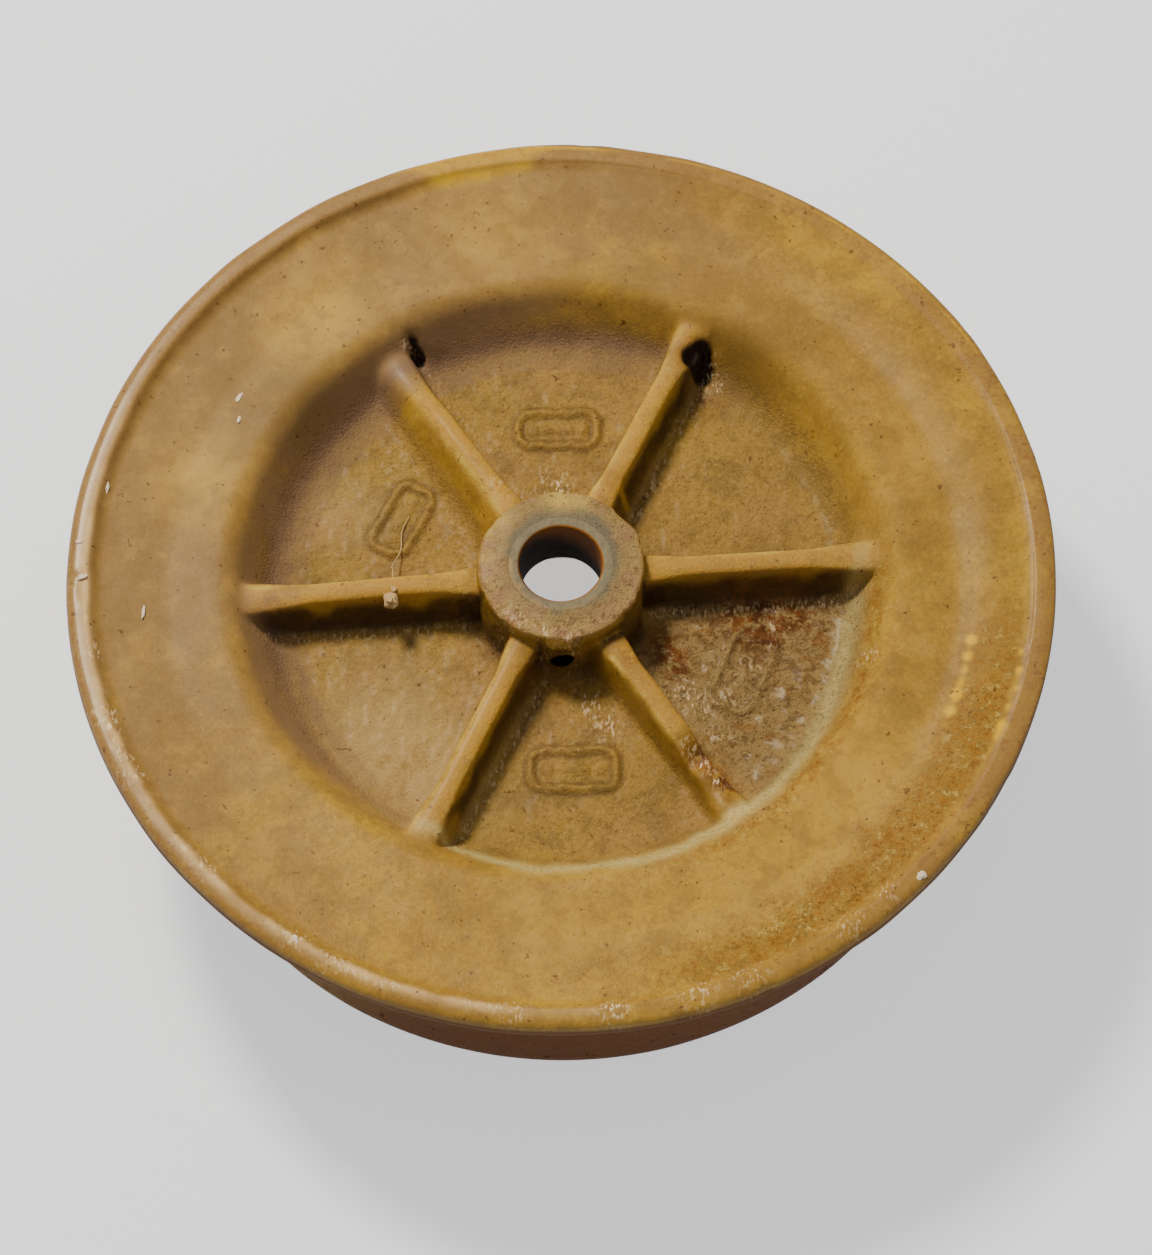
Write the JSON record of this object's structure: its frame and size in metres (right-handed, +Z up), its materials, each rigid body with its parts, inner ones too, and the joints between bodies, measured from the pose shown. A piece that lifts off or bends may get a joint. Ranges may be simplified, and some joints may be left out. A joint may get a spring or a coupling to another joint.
{
  "type": "banding wheel",
  "caption": "Low bench banding wheel: dished cast wheel head with a ribbed centre and through bore, turning on a hollow spindle over a drum-shaped cast base.",
  "frame": {"origin": "on the turning axis, at the bench surface under the rubber feet", "axes": "+Z up along the turning axis; -Y towards the hub's lock screw"},
  "size_m": [0.2286, 0.2286, 0.0667],
  "materials": {
    "ochre_paint": "worn gloss ochre paint over sand-cast iron",
    "base_paint": "worn gloss ochre-brown paint over sand-cast iron",
    "machined_steel": "turned steel, dulled",
    "bearing_steel": "ground and hardened",
    "screw_steel": "blackened, slightly rusty",
    "brass": "plain brass",
    "felt": "pressed wool felt, oiled",
    "foot_rubber": "matt black rubber"
  },
  "bodies": {
    "base": {"base_casting": "base_paint", "lower_race": "bearing_steel", "spindle": "machined_steel", "snap_ring": "screw_steel", "spindle_screws": "screw_steel", "spring_washers": "screw_steel", "dust_felt": "felt", "foot_rear": "foot_rubber", "foot_left": "foot_rubber", "foot_right": "foot_rubber", "foot_screws": "screw_steel"},
    "wheel": {"wheel_head": "ochre_paint", "hub_bushing": "machined_steel", "upper_race": "bearing_steel"},
    "cage": {"cage_upper_half": "brass", "cage_lower_half": "brass", "cage_rivets": "brass", "bearing_balls": "bearing_steel"},
    "pad": {"lock_pad": "brass"},
    "screw": {"hub_lock_screw": "screw_steel"}
  },
  "joints": [
    {"name": "wheel_spin", "type": "hinge", "parent": "base", "child": "wheel", "pos_m": [0, 0, 0.046], "axis": [0, 0, 1], "continuous": true},
    {"name": "cage_spin", "type": "hinge", "parent": "base", "child": "cage", "pos_m": [0, 0, 0.04227], "axis": [0, 0, 1], "continuous": true},
    {"name": "pad_slide", "type": "slide", "parent": "wheel", "child": "pad", "axis": [0, -1, 0], "range_m": [-0.0015, 0.003]},
    {"name": "screw_turn", "type": "hinge", "parent": "pad", "child": "screw", "pos_m": [0, -0.0152, 0.0566], "axis": [0, -1, 0], "range_deg": [-675, 1350]}
  ],
  "couplings": [
    {"joint": "cage_spin", "follows": "wheel_spin", "ratio": 0.5},
    {"joint": "pad_slide", "follows": "screw_turn", "m_per_rad": 0.00012732}
  ]
}
